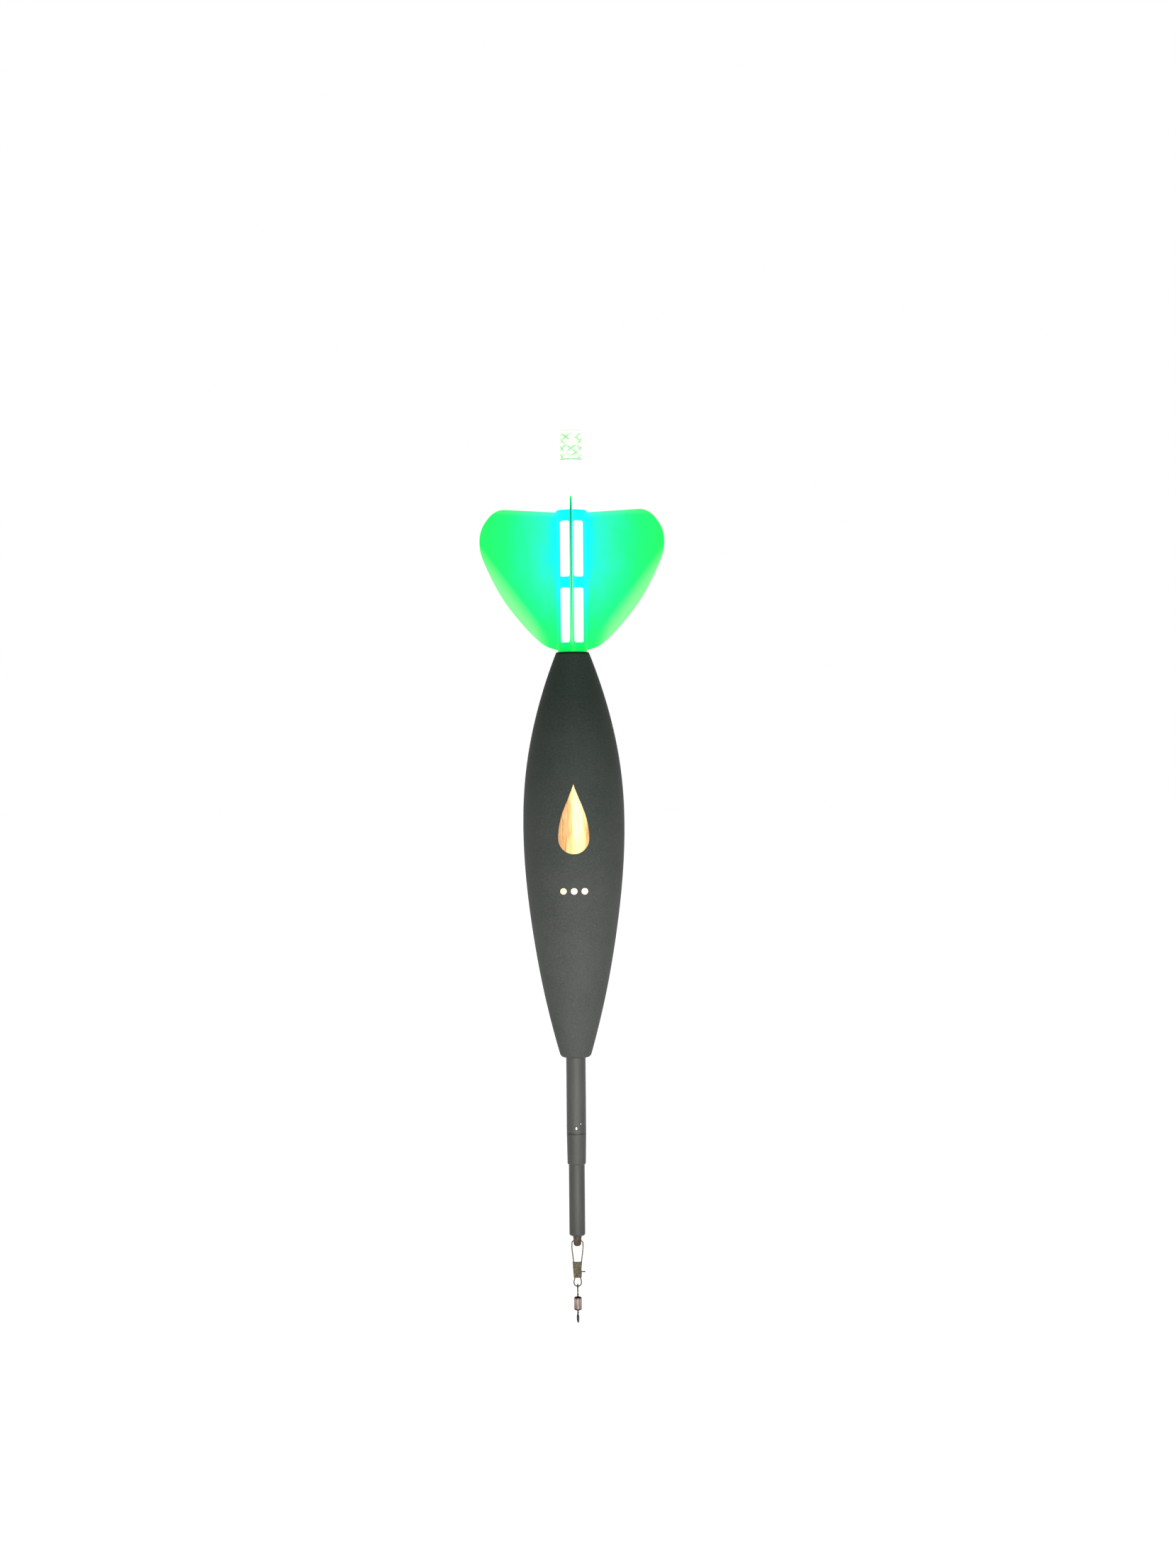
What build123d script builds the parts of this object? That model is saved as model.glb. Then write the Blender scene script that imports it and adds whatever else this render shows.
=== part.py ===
from build123d import *

import os

# A long-casting night float: a foam body on a weighted stem, a finned tail that holds a light stick,
# and a snap swivel for the line. Millimetres. It stands as it does in the water: +Z runs up its axis
# to the light's tip, the origin is the centre of the foam's top face, and one fin points along -Y.

os.makedirs("parts", exist_ok=True)

# ---- clearances
running_gap = 0.04  # radial, between a piece that slides or turns and its bore
end_gap = 0.1  # along the axis, between a moving piece and its stop

# ---- foam body: radii of its side line, and their depths below the top face
body_length = 103.8
body_top_radius = 4.2
body_top_round = 0.3
body_shoulder = (9.05, 14.5)
body_upper = (12.15, 30.0)
body_widest = (13.0, 43.5)
body_waist = (10.6, 72.7)
body_lower = (8.65, 84.0)
body_foot_radius = 3.8
body_foot_round = 1.2

# ---- foil print on the foam
foil_thickness = 0.08
drop_radius = 3.9
drop_height = 17.5
drop_centre_depth = 47.5
pip_count = 3
pip_radius = 0.8
pip_pitch = 2.7
pips_depth = 60.8

# ---- finned tail moulding
cage_radius = 4.1
cage_height = 36.4
cage_top_round = 0.6
spigot_radius = 3.8
spigot_depth = 12.0
collar_height = 1.2
window_heights = [(2.35, 16.4), (19.2, 33.5)]
window_width = 2.35
window_corner = 0.5
rib_width = 1.15
fin_count = 3
fin_thickness = 0.6
fin_edge_round = 0.2
fin_root_top = 36.0
fin_corner = (20.3, 37.8)
fin_shoulder = (25.5, 35.5)
fin_tip = (27.9, 29.7)
fin_flank = [(26.2, 23.7), (21.1, 15.0), (17.0, 10.0), (8.8, 2.4)]
fin_root_foot = 0.6

# ---- stem: centre tube, ballast, ferrule, rod and line peg
stem_radius = 2.5
stem_wall = 0.8
stem_length = 19.4  # below the foam
tube_shoulder = 0.4  # how much thinner the tube is inside the foam
plug_thickness = 2.5
plug_spigot_length = 8.0
ballast_length = 55.0
ferrule_length = 8.1
groove_width = 0.3
rod_radius = 2.05
rod_length = 18.3
rod_foot_round = 0.6
rod_spigot_length = 8.0
peg_radius = 1.12
peg_taper = 0.2  # how much thinner its foot is
peg_length = 2.7
peg_spigot_radius = 0.9
peg_spigot_length = 5.0
peg_hole_radius = 0.3
peg_hole_depth = 1.4  # below the rod's foot

# ---- pin cell, 4.2 across and 25.9 long over its pin
cell_radius = 2.1
cell_can_length = 22.0
cell_can_round = 0.4
cell_gasket_radius = 1.35
cell_gasket_length = 0.2
cell_pin_radius = 0.4
cell_pin_length = 3.9

# ---- light stick
sleeve_wall = 0.7
sleeve_side_gap = 0.15  # in the tail's socket, closed by the seals
sleeve_top = 49.1
cell_side_gap = 0.1
lamp_headroom = 0.5
seal_wire = 0.25
seal_heights = [-4.0, -6.5]
tip_radius = 2.8
tip_length = 7.8
tip_round = 0.9
tip_spigot_radius = 2.1
tip_spigot_length = 4.0
lamp_radius = 1.5
lamp_flange_side_gap = 0.3  # from its flange to the sleeve
lamp_flange_length = 1.0
lamp_barrel_length = 2.2
carrier_length = 6.6
contact_thickness = 0.2
contact_ring_width = 0.65
contact_leg_width = 0.9
pin_socket_radius = 0.9
pin_socket_cap = 0.4
lead_radius = 0.2
lead_spacing = 1.27
lead_bend_drop = 0.8  # from the lamp's foot to the second lead's bend

# ---- snap
snap_wire = 0.16
snap_side_gap = 0.12  # between the peg and the wire's legs
snap_bend = 0.5
snap_belly = 1.8  # from the peg's hole to the legs' widest point
snap_drop = 5.4  # from the peg's hole to the clasp
clasp_length = 4.0
clasp_sheet = 0.16
clasp_gap = 0.08
clasp_top_half_width = 1.0  # to the wires' centres
clasp_foot_half_width = 0.68
stub_height = 1.0
hook_height = 1.55
hook_reach = 2.0
loop_half_width = 0.95
loop_drop = 2.2  # from the clasp to the loop's lowest wire

# ---- swivel
eye_ring = 1.05
eye_wire = 0.2
eye_play = 0.03
eye_neck = 0.95  # from the ring's wire to the barrel's end
eye_neck_radius = 0.22
barrel_radius = 1.02
barrel_length = 3.5
barrel_wall = 0.3
barrel_lip = 0.35
barrel_round = 0.5
head_length = 0.75
lower_eye_turn = 9.0  # degrees round the axis, as it happens to lie

# ---- heights worked out from them
stem_foot = -body_length - stem_length
ferrule_foot = stem_foot - ferrule_length
rod_foot = ferrule_foot - rod_length
peg_hole = rod_foot - peg_hole_depth
socket_floor = plug_thickness - spigot_depth
cell_foot = socket_floor + end_gap
cell_top = cell_foot + cell_can_length
sleeve_foot = cell_foot + end_gap
carrier_foot = cell_top + cell_gasket_length + end_gap
lamp_foot = carrier_foot + carrier_length
lamp_centre = lamp_foot + lamp_flange_length + lamp_barrel_length
chamber_top = lamp_centre + lamp_radius + lamp_headroom
pin_top = cell_top + cell_pin_length
pin_socket_top = pin_top + end_gap + pin_socket_cap
clasp_top = peg_hole - snap_drop
clasp_foot = clasp_top - clasp_length
loop_wire = clasp_foot - loop_drop
upper_ring = loop_wire + snap_wire + eye_play + eye_wire - eye_ring
barrel_top = upper_ring - eye_ring - eye_neck
barrel_foot = barrel_top - barrel_length
lower_ring = barrel_foot - eye_neck - eye_ring

# ---- radii and offsets worked out from them
stem_bore = stem_radius - stem_wall
tube_radius = stem_radius - tube_shoulder
joint_step = stem_radius - rod_radius
ferrule_foot_radius = rod_radius + 0.7 * joint_step
groove_radius = stem_radius - 0.4 * joint_step
sleeve_bore = cell_radius + cell_side_gap
sleeve_radius = sleeve_bore + sleeve_wall
lamp_flange_radius = sleeve_bore - lamp_flange_side_gap
contact_inner_radius = sleeve_bore - contact_ring_width
cage_bore = sleeve_radius + sleeve_side_gap
seal_seat = cage_bore - running_gap - 2 * seal_wire
snap_half_width = peg_radius + snap_side_gap + snap_wire
gate_pivot = snap_half_width - snap_bend - end_gap / 2
contact_middle = sleeve_bore - contact_thickness / 2
head_radius = barrel_radius - barrel_wall - running_gap


# ---------------------------------------------------------------- foam body
def body_side(outset=0.0):
    """The foam's side line, from its foot up to its top edge, moved outwards by outset."""
    with BuildLine() as side:
        Spline(
            (body_foot_radius + outset, -body_length),
            (body_lower[0] + outset, -body_lower[1]),
            (body_waist[0] + outset, -body_waist[1]),
            (body_widest[0] + outset, -body_widest[1]),
            (body_upper[0] + outset, -body_upper[1]),
            (body_shoulder[0] + outset, -body_shoulder[1]),
            (body_top_radius + outset, 0),
        )
    return side.line


with BuildPart() as foam_body:
    with BuildSketch(Plane.XZ):
        with BuildLine():
            add(body_side())
            Polyline(
                (body_top_radius, 0),
                (spigot_radius, 0),
                (spigot_radius, -spigot_depth),
                (tube_radius, -spigot_depth),
                (tube_radius, -body_length),
                (body_foot_radius, -body_length),
            )
        make_face()
    revolve(axis=Axis.Z)
    top_rim = foam_body.edges().group_by(Axis.Z)[-1].sort_by(SortBy.RADIUS)[-1]
    fillet(top_rim, min(body_top_round, 0.8 * (body_top_radius - spigot_radius)))
    foot_rim = foam_body.edges().group_by(Axis.Z)[0].sort_by(SortBy.RADIUS)[-1]
    fillet(foot_rim, min(body_foot_round, 0.9 * (body_foot_radius - tube_radius)))
foam_body.part.label = "foam_body"
export_step(foam_body.part, "parts/foam_body.step")

# ---------------------------------------------------------------- foil print
with BuildPart() as foil_skin:  # a thin shell over the foam, which the print is cut from
    with BuildSketch(Plane.XZ):
        with BuildLine():
            add(body_side())
            add(body_side(foil_thickness))
            Line((body_top_radius, 0), (body_top_radius + foil_thickness, 0))
            Line((body_foot_radius, -body_length), (body_foot_radius + foil_thickness, -body_length))
        make_face()
    revolve(axis=Axis.Z)

with BuildPart() as drop_mark:
    with BuildSketch(Plane.XZ.offset(body_foot_radius)):
        with Locations((0, -drop_centre_depth)):
            Circle(drop_radius)
        crown = (0, drop_height - drop_radius - drop_centre_depth)
        with BuildLine():
            left = Spline((-drop_radius, -drop_centre_depth), crown, tangents=[(0, 1), (0.32, 1)])
            right = Spline((drop_radius, -drop_centre_depth), crown, tangents=[(0, 1), (-0.32, 1)])
            Line(left @ 0, right @ 0)
        make_face()
    extrude(amount=body_widest[0])
    add(foil_skin.part, mode=Mode.INTERSECT)
drop_mark.part.label = "drop_mark"
export_step(drop_mark.part, "parts/drop_mark.step")

with BuildPart() as size_pips:
    with BuildSketch(Plane.XZ.offset(body_foot_radius)):
        with Locations((0, -pips_depth)):
            with GridLocations(pip_pitch, 0, pip_count, 1):
                Circle(pip_radius)
    extrude(amount=body_widest[0])
    add(foil_skin.part, mode=Mode.INTERSECT)
size_pips.part.label = "size_pips"
export_step(size_pips.part, "parts/size_pips.step")

# ---------------------------------------------------------------- finned tail moulding
with BuildPart() as fin_blade:  # one fin, standing out along +X
    with BuildSketch(Plane.XZ):
        with BuildLine():
            Line((cage_bore, fin_root_top), fin_corner)
            Spline(fin_corner, fin_shoulder, fin_tip, tangents=[(1, 0.05), (0, -1)])
            Spline(fin_tip, *fin_flank, (spigot_radius, fin_root_foot), tangents=[(0, -1), (-1, -0.2)])
            Polyline(
                (spigot_radius, fin_root_foot), (cage_bore, fin_root_foot), (cage_bore, fin_root_top)
            )
        make_face()
    extrude(amount=fin_thickness / 2, both=True)
    outline = fin_blade.edges().filter_by(lambda e: abs(e.center().Y) > 0.4 * fin_thickness)
    free_outline = outline.filter_by(lambda e: e.center().X > cage_radius)
    fillet(free_outline, fin_edge_round)

with BuildPart() as fin_tail:
    with BuildSketch(Plane.XY.offset(-spigot_depth)):
        Circle(spigot_radius)
    extrude(amount=spigot_depth + collar_height)
    with BuildSketch(Plane.XY.offset(collar_height)):
        Circle(cage_radius)
    extrude(amount=cage_height - collar_height)
    fillet(fin_tail.edges().group_by(Axis.Z)[-1], cage_top_round)
    with PolarLocations(0, fin_count, start_angle=-90):
        add(fin_blade.part)
    with BuildSketch(Plane.XY.offset(-spigot_depth)):
        Circle(cage_bore)
    extrude(amount=spigot_depth + cage_height, mode=Mode.SUBTRACT)
    for heading in [-90 + 360 / fin_count * k for k in range(fin_count)]:
        with BuildSketch(Plane.YZ.rotated((0, 0, heading))):
            for low, high in window_heights:
                for side in (-1, 1):
                    with Locations((side * (rib_width + window_width) / 2, (low + high) / 2)):
                        RectangleRounded(window_width, high - low, window_corner)
        extrude(amount=cage_radius, mode=Mode.SUBTRACT)
fin_tail.part.label = "fin_tail"
export_step(fin_tail.part, "parts/fin_tail.step")

# ---------------------------------------------------------------- socket plug, tube and ballast
with BuildPart() as socket_plug:
    with BuildSketch(Plane.XY.offset(-spigot_depth)):
        Circle(cage_bore)
    extrude(amount=plug_thickness)
    with BuildSketch(Plane.XY.offset(-spigot_depth)):
        Circle(stem_bore)
    extrude(amount=-plug_spigot_length)
socket_plug.part.label = "socket_plug"
export_step(socket_plug.part, "parts/socket_plug.step")

with BuildPart() as centre_tube:  # its shoulder bears on the foam's foot
    with BuildSketch(Plane.XY.offset(stem_foot)):
        Circle(stem_radius)
    extrude(amount=stem_length)
    with BuildSketch(Plane.XY.offset(-body_length)):
        Circle(tube_radius)
    extrude(amount=body_length - spigot_depth)
    with BuildSketch(Plane.XY.offset(stem_foot)):
        Circle(stem_bore)
    extrude(amount=-spigot_depth - stem_foot, mode=Mode.SUBTRACT)
centre_tube.part.label = "centre_tube"
export_step(centre_tube.part, "parts/centre_tube.step")

with BuildPart() as ballast_rod:
    with BuildSketch(Plane.XY.offset(stem_foot + rod_spigot_length)):
        Circle(stem_bore)
    extrude(amount=ballast_length)
ballast_rod.part.label = "ballast_rod"
export_step(ballast_rod.part, "parts/ballast_rod.step")

# ---------------------------------------------------------------- ferrule, rod and line peg
with BuildPart() as stem_ferrule:
    with BuildSketch(Plane.XZ):
        Polygon(
            (rod_radius, stem_foot),
            (groove_radius, stem_foot),
            (groove_radius, stem_foot - groove_width),
            (stem_radius, stem_foot - groove_width),
            (ferrule_foot_radius, ferrule_foot),
            (rod_radius, ferrule_foot),
            align=None,
        )
    revolve(axis=Axis.Z)
    foot_rim = stem_ferrule.edges().group_by(Axis.Z)[0].sort_by(SortBy.RADIUS)[-1]
    chamfer(foot_rim, 0.8 * (ferrule_foot_radius - rod_radius))
stem_ferrule.part.label = "stem_ferrule"
export_step(stem_ferrule.part, "parts/stem_ferrule.step")

with BuildPart() as glue_ring:  # a bead that fills the groove and stays inside the stem's outline
    with BuildSketch(Plane.XZ):
        with BuildLine():
            ThreePointArc(
                (groove_radius, stem_foot),
                (stem_radius - 0.1 * joint_step, stem_foot - groove_width / 2),
                (groove_radius, stem_foot - groove_width),
            )
            Line((groove_radius, stem_foot - groove_width), (groove_radius, stem_foot))
        make_face()
    revolve(axis=Axis.Z)
glue_ring.part.label = "glue_ring"
export_step(glue_ring.part, "parts/glue_ring.step")

with BuildPart() as lower_rod:
    with BuildSketch(Plane.XY.offset(stem_foot)):
        Circle(stem_bore)
    extrude(amount=rod_spigot_length)
    with BuildSketch(Plane.XY.offset(stem_foot)):
        Circle(rod_radius)
    extrude(amount=rod_foot - stem_foot)
    fillet(lower_rod.edges().group_by(Axis.Z)[0], rod_foot_round)
    with BuildSketch(Plane.XY.offset(rod_foot)):
        Circle(peg_spigot_radius)
    extrude(amount=peg_spigot_length, mode=Mode.SUBTRACT)
lower_rod.part.label = "lower_rod"
export_step(lower_rod.part, "parts/lower_rod.step")

with BuildPart() as line_peg:
    with BuildSketch(Plane.XY.offset(rod_foot)):
        Circle(peg_radius)
    with BuildSketch(Plane.XY.offset(rod_foot - peg_length)):
        Circle(peg_radius - peg_taper)
    loft()
    fillet(line_peg.edges().group_by(Axis.Z)[0], 0.75 * (peg_radius - peg_taper))
    with BuildSketch(Plane.XY.offset(rod_foot)):
        Circle(peg_spigot_radius)
    extrude(amount=peg_spigot_length)
    with BuildSketch(Plane.YZ.offset(-peg_radius)):
        with Locations((0, peg_hole)):
            Circle(peg_hole_radius)
    extrude(amount=2 * peg_radius, mode=Mode.SUBTRACT)
line_peg.part.label = "line_peg"
export_step(line_peg.part, "parts/line_peg.step")

# ---------------------------------------------------------------- light stick
with BuildPart() as stick_sleeve:
    with BuildSketch(Plane.XY.offset(sleeve_foot)):
        Circle(sleeve_radius)
    extrude(amount=sleeve_top - sleeve_foot)
    with BuildSketch(Plane.XY.offset(sleeve_top)):
        Circle(tip_spigot_radius)
    extrude(amount=tip_spigot_length)
    with BuildSketch(Plane.XY.offset(sleeve_foot)):
        Circle(sleeve_bore)
    extrude(amount=chamber_top - sleeve_foot, mode=Mode.SUBTRACT)
    for height in seal_heights:
        with BuildSketch(Plane.XY.offset(height - seal_wire)):
            Circle(sleeve_radius)
            Circle(seal_seat, mode=Mode.SUBTRACT)
        extrude(amount=2 * seal_wire, mode=Mode.SUBTRACT)
stick_sleeve.part.label = "stick_sleeve"
export_step(stick_sleeve.part, "parts/stick_sleeve.step")

with BuildPart() as sleeve_seals:
    with BuildSketch(Plane.XZ):
        with Locations([(seal_seat + seal_wire, height) for height in seal_heights]):
            Circle(seal_wire)
    revolve(axis=Axis.Z)
sleeve_seals.part.label = "sleeve_seals"
export_step(sleeve_seals.part, "parts/sleeve_seals.step")

with BuildPart() as tip_grip:
    with BuildSketch(Plane.XY.offset(sleeve_top)):
        Circle(tip_radius)
    extrude(amount=tip_length)
    fillet(tip_grip.edges().group_by(Axis.Z)[-1], tip_round)
    with BuildSketch(Plane.XY.offset(sleeve_top)):
        Circle(tip_spigot_radius)
    extrude(amount=tip_spigot_length, mode=Mode.SUBTRACT)
tip_grip.part.label = "tip_grip"
export_step(tip_grip.part, "parts/tip_grip.step")

with BuildPart() as lamp:
    with BuildSketch(Plane.XY.offset(lamp_foot)):
        Circle(lamp_flange_radius)
    extrude(amount=lamp_flange_length)
    with BuildSketch(Plane.XY.offset(lamp_foot)):
        Circle(lamp_radius)
    extrude(amount=lamp_centre - lamp_foot)
    with Locations((0, 0, lamp_centre)):
        Sphere(lamp_radius)
lamp.part.label = "lamp"
export_step(lamp.part, "parts/lamp.step")

with BuildPart() as lamp_leads:
    with BuildSketch(Plane.XY.offset(pin_socket_top)):
        with Locations((-lead_spacing / 2, 0)):
            Circle(lead_radius)
    extrude(amount=lamp_foot - pin_socket_top)
    with BuildLine(Plane.XZ) as second_lead:
        FilletPolyline(
            (lead_spacing / 2, lamp_foot),
            (lead_spacing / 2, lamp_foot - lead_bend_drop),
            (sleeve_bore - contact_thickness, lamp_foot - lead_bend_drop),
            radius=2 * lead_radius,
        )
    with BuildSketch(Plane.XY.offset(lamp_foot)):
        with Locations((lead_spacing / 2, 0)):
            Circle(lead_radius)
    sweep(path=second_lead.line)
lamp_leads.part.label = "lamp_leads"
export_step(lamp_leads.part, "parts/lamp_leads.step")

with BuildPart() as pin_socket:
    with BuildSketch(Plane.XY.offset(carrier_foot)):
        Circle(pin_socket_radius)
    extrude(amount=pin_socket_top - carrier_foot)
    with BuildSketch(Plane.XY.offset(carrier_foot)):
        Circle(cell_pin_radius + running_gap)
    extrude(amount=pin_top + end_gap - carrier_foot, mode=Mode.SUBTRACT)
pin_socket.part.label = "pin_socket"
export_step(pin_socket.part, "parts/pin_socket.step")

with BuildPart() as can_contact:  # a ring under the carrier, with a leg up its side to the lead
    with BuildSketch(Plane.XY.offset(carrier_foot - contact_thickness)):
        Circle(sleeve_bore)
        Circle(contact_inner_radius, mode=Mode.SUBTRACT)
    extrude(amount=contact_thickness)
    with BuildSketch(Plane.XY.offset(carrier_foot)):
        with Locations((contact_middle, 0)):
            Rectangle(contact_thickness, contact_leg_width)
    extrude(amount=carrier_length)
    with BuildSketch(Plane.XY.offset(carrier_foot - contact_thickness)):
        Circle(sleeve_bore)
    extrude(amount=carrier_length + contact_thickness, mode=Mode.INTERSECT)
can_contact.part.label = "can_contact"
export_step(can_contact.part, "parts/can_contact.step")

with BuildPart() as lamp_carrier:
    with BuildSketch(Plane.XY.offset(carrier_foot)):
        Circle(sleeve_bore)
        with Locations((sleeve_bore, 0)):
            Rectangle(2 * contact_thickness, contact_leg_width, mode=Mode.SUBTRACT)
    extrude(amount=carrier_length)
    with BuildSketch(Plane.XY.offset(carrier_foot)):
        Circle(pin_socket_radius)
    extrude(amount=pin_socket_top - carrier_foot, mode=Mode.SUBTRACT)
    add(lamp_leads.part, mode=Mode.SUBTRACT)
lamp_carrier.part.label = "lamp_carrier"
export_step(lamp_carrier.part, "parts/lamp_carrier.step")

# ---------------------------------------------------------------- pin cell
with BuildPart() as cell_can:
    with BuildSketch(Plane.XY.offset(cell_foot)):
        Circle(cell_radius)
    extrude(amount=cell_can_length)
    fillet(cell_can.edges().filter_by(GeomType.CIRCLE), cell_can_round)
cell_can.part.label = "cell_can"
export_step(cell_can.part, "parts/cell_can.step")

with BuildPart() as cell_gasket:
    with BuildSketch(Plane.XY.offset(cell_top)):
        Circle(cell_gasket_radius)
        Circle(cell_pin_radius, mode=Mode.SUBTRACT)
    extrude(amount=cell_gasket_length)
cell_gasket.part.label = "cell_gasket"
export_step(cell_gasket.part, "parts/cell_gasket.step")

with BuildPart() as cell_pin:
    with BuildSketch(Plane.XY.offset(cell_top)):
        Circle(cell_pin_radius)
    extrude(amount=cell_pin_length)
    chamfer(cell_pin.edges().group_by(Axis.Z)[-1], cell_pin_radius / 2)
cell_pin.part.label = "cell_pin"
export_step(cell_pin.part, "parts/cell_pin.step")


# ---------------------------------------------------------------- snap
def bent_wire(name, points, bends):
    """A round wire in the XZ plane that follows the points, with a bend radius at each corner."""
    with BuildPart() as wire:
        with BuildLine(Plane.XZ) as route:
            FilletPolyline(*points, radius=bends)
        with BuildSketch(Plane(origin=route.line @ 0, z_dir=route.line % 0)):
            Circle(snap_wire)
        sweep(path=route.line)
    wire.part.label = name
    export_step(wire.part, f"parts/{name}.step")
    return wire


def clasp_wire_offset(height):
    """How far the snap's wires stand from the axis at a height above the clasp's foot."""
    widening = (clasp_top_half_width - clasp_foot_half_width) / clasp_length
    return clasp_foot_half_width + widening * height


snap_frame_wire = bent_wire(
    "snap_frame_wire",
    [
        (clasp_wire_offset(stub_height), clasp_foot + stub_height),
        (clasp_foot_half_width, clasp_foot),
        (loop_half_width, clasp_foot - 0.4 * loop_drop),
        (loop_half_width, loop_wire),
        (-loop_half_width, loop_wire),
        (-loop_half_width, clasp_foot - 0.4 * loop_drop),
        (-clasp_foot_half_width, clasp_foot),
        (-clasp_top_half_width, clasp_top),
        (-1.03 * snap_half_width, peg_hole - snap_belly),
        (-snap_half_width, peg_hole),
        (gate_pivot - end_gap / 2, peg_hole),
    ],
    [0.4, 0.5, 0.95 * loop_half_width, 0.95 * loop_half_width, 0.5, 0.4, 0.6, 4.0, snap_bend],
)

snap_gate_wire = bent_wire(
    "snap_gate_wire",
    [
        (gate_pivot + end_gap / 2, peg_hole),
        (snap_half_width, peg_hole),
        (1.03 * snap_half_width, peg_hole - snap_belly),
        (clasp_top_half_width, clasp_top),
        (clasp_wire_offset(hook_height), clasp_foot + hook_height),
        (hook_reach, clasp_foot + hook_height),
    ],
    [0.95 * snap_bend, 4.0, 0.6, 0.3],
)

with BuildPart() as snap_clasp:  # folded sheet round both legs, open on the gate's side
    pocket_depth = snap_wire + clasp_gap
    with BuildSketch(Plane.XZ):
        outer_top = clasp_top_half_width + snap_wire + clasp_sheet
        outer_foot = clasp_foot_half_width + snap_wire + clasp_sheet
        Polygon(
            (-outer_foot, clasp_foot),
            (outer_foot, clasp_foot),
            (outer_top, clasp_top),
            (-outer_top, clasp_top),
            align=None,
        )
    extrude(amount=pocket_depth + clasp_sheet, both=True)
    with BuildSketch(Plane.XZ):
        Polygon(
            (clasp_sheet - outer_foot, clasp_foot),
            (outer_foot - clasp_sheet, clasp_foot),
            (outer_top - clasp_sheet, clasp_top),
            (clasp_sheet - outer_top, clasp_top),
            align=None,
        )
    extrude(amount=pocket_depth, both=True, mode=Mode.SUBTRACT)
    with BuildSketch(Plane.XZ):
        sill = hook_height - snap_wire - 0.15
        Polygon(
            (clasp_wire_offset(sill) + snap_wire, clasp_foot + sill),
            (outer_top, clasp_foot + sill),
            (outer_top, clasp_top),
            (outer_top - clasp_sheet, clasp_top),
            align=None,
        )
    extrude(amount=pocket_depth + clasp_sheet, both=True, mode=Mode.SUBTRACT)
    with BuildSketch(Plane.XZ):  # notch in the front sheet, where the hook latches
        with Locations((clasp_wire_offset(sill) - snap_wire / 2, clasp_foot + sill)):
            Rectangle(outer_top, hook_height - 0.3, align=(Align.MIN, Align.MIN))
    extrude(amount=pocket_depth + clasp_sheet, mode=Mode.SUBTRACT)
snap_clasp.part.label = "snap_clasp"
export_step(snap_clasp.part, "parts/snap_clasp.step")


# ---------------------------------------------------------------- swivel
def swivel_eye(name, ring_height, barrel_end, inward, turn):
    """A wire ring with a neck through the barrel's end and a head inside that holds it.

    inward is +1 where the barrel is above the ring and -1 where it is below.
    """
    neck_end = barrel_end + inward * (barrel_lip + end_gap)
    with BuildPart() as eye:
        with Locations((0, 0, ring_height)):
            Torus(eye_ring, eye_wire, rotation=(90, 90 + turn, 0))
        with BuildSketch(Plane.XY.offset(ring_height + inward * eye_ring)):
            Circle(eye_neck_radius)
        extrude(amount=neck_end - ring_height - inward * eye_ring)
        with BuildSketch(Plane.XY.offset(neck_end)):
            Circle(head_radius)
        extrude(amount=inward * head_length)
    eye.part.label = name
    export_step(eye.part, f"parts/{name}.step")
    return eye


swivel_upper_eye = swivel_eye("swivel_upper_eye", upper_ring, barrel_top, -1, 0)
swivel_lower_eye = swivel_eye("swivel_lower_eye", lower_ring, barrel_foot, 1, lower_eye_turn)

with BuildPart() as swivel_barrel:
    with BuildSketch(Plane.XY.offset(barrel_foot)):
        Circle(barrel_radius)
    extrude(amount=barrel_length)
    fillet(swivel_barrel.edges().filter_by(GeomType.CIRCLE), barrel_round)
    with BuildSketch(Plane.XY.offset(barrel_foot + barrel_lip)):
        Circle(barrel_radius - barrel_wall)
    extrude(amount=barrel_length - 2 * barrel_lip, mode=Mode.SUBTRACT)
    with BuildSketch(Plane.XY.offset(barrel_foot)):
        Circle(eye_neck_radius + running_gap)
    extrude(amount=barrel_length, mode=Mode.SUBTRACT)
swivel_barrel.part.label = "swivel_barrel"
export_step(swivel_barrel.part, "parts/swivel_barrel.step")
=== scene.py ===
import bpy, bmesh, math
from mathutils import Matrix, Vector


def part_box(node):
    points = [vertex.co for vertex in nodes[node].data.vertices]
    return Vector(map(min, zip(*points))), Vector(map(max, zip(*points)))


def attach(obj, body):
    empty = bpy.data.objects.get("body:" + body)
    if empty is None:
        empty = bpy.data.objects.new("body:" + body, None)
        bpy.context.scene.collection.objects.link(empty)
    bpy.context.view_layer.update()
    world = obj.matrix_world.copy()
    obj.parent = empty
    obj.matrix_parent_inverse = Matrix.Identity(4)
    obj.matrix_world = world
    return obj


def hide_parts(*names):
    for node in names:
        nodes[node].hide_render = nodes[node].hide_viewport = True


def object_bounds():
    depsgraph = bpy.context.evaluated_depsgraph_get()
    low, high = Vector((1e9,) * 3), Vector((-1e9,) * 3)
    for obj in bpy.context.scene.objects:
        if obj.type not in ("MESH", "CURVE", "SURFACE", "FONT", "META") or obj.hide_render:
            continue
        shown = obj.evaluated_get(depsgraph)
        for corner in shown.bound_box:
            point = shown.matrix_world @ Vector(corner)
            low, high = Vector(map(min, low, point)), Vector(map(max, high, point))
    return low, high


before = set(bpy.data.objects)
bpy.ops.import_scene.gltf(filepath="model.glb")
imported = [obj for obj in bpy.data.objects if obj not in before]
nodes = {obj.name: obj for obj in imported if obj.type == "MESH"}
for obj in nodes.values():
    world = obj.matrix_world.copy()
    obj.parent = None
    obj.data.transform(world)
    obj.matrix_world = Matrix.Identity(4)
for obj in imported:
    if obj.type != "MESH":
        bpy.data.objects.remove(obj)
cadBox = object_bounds()
mm = 0.001  # pieces are drawn in millimetres and scaled once at the end
print("frame loaded,", len(nodes), "cad nodes")


# node trees

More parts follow.
